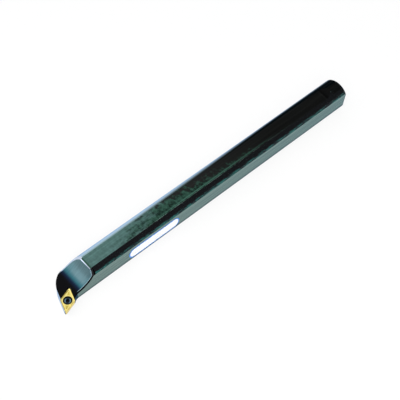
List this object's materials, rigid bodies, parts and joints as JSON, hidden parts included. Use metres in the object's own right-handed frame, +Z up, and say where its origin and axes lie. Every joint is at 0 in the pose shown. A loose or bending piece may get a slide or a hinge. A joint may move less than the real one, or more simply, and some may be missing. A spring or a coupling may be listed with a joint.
{
  "type": "boring bar",
  "caption": "Round-shank indexable boring bar with milled flats, a hollowed head and a rhombic insert clamped by a countersunk screw.",
  "frame": {"origin": "centre of the shank's round back end face, on the bar's axis", "axes": "+X along the bar's axis to the cutting head, +Y to the cutting side, +Z up out of the insert's rake face, which lies at z = 0"},
  "size_m": [0.3, 0.0295, 0.025],
  "materials": {
    "blackened_steel": "milled and turned steel, black oxide, oiled",
    "coated_carbide": "gold titanium nitride coating",
    "screw_steel": "black oxide",
    "label_film": "printed film, bare of words"
  },
  "bodies": {
    "root": {"bar": "blackened_steel", "insert": "coated_carbide", "insert_screw": "screw_steel", "label": "label_film"}
  },
  "joints": []
}
